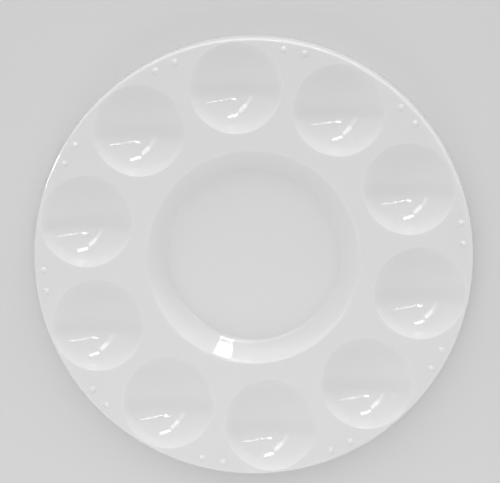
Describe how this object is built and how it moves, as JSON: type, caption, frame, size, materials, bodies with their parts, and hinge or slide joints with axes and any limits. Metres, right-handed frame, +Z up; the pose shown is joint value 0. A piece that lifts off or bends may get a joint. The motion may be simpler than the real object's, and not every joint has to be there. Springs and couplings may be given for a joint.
{
  "type": "mixing palette",
  "caption": "Round white plastic mixing palette with a ring of shallow bowl-shaped paint wells around a flat-bottomed mixing dish, and small raised brush rests beside the rim.",
  "frame": {"origin": "on the table, under the middle of the palette", "axes": "+Z up, out of the face where the wells open; +Y from the middle towards one well; +X to the right of that well seen from above"},
  "size_m": [0.17, 0.17, 0.0107],
  "materials": {
    "white_plastic": "glossy white injection moulding, very slightly translucent"
  },
  "bodies": {
    "root": {"palette": "white_plastic"}
  },
  "joints": []
}
